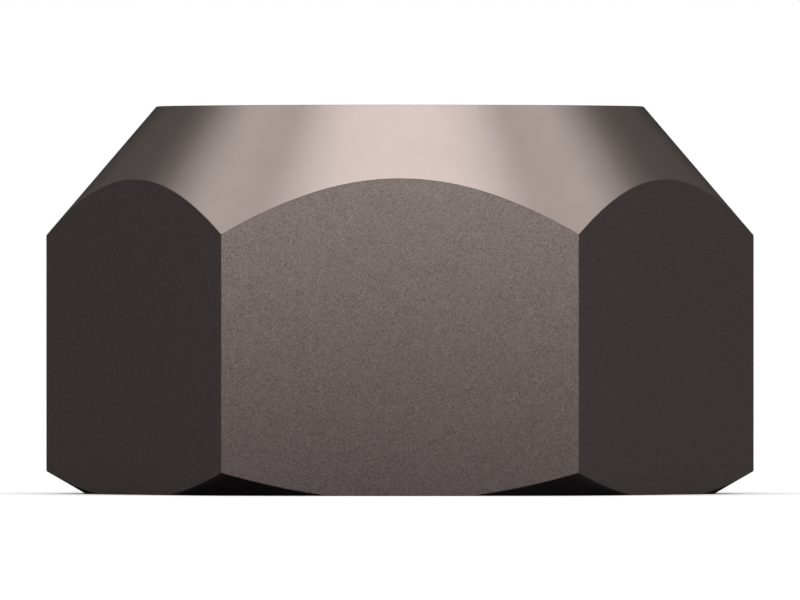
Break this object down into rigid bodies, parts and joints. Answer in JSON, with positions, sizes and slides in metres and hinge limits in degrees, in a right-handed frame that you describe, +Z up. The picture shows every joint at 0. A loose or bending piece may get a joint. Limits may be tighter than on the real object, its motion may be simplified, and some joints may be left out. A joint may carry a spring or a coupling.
{
  "type": "tapered lock nut",
  "caption": "Hexagon lock nut with a tapered conical collar at the top, chamfered bearing corners and a through thread with a lead-in at each end; the collar grips the bolt.",
  "frame": {"origin": "centre of the bearing face, on the thread's axis", "axes": "+Z up the thread from the bearing face to the tapered top, +X through two of the hexagon's corners, -Y out of the flat that faces the camera"},
  "size_m": [0.022, 0.019, 0.012],
  "materials": {
    "phosphated_steel": "satin"
  },
  "bodies": {
    "root": {"lock_nut": "phosphated_steel"}
  },
  "joints": []
}
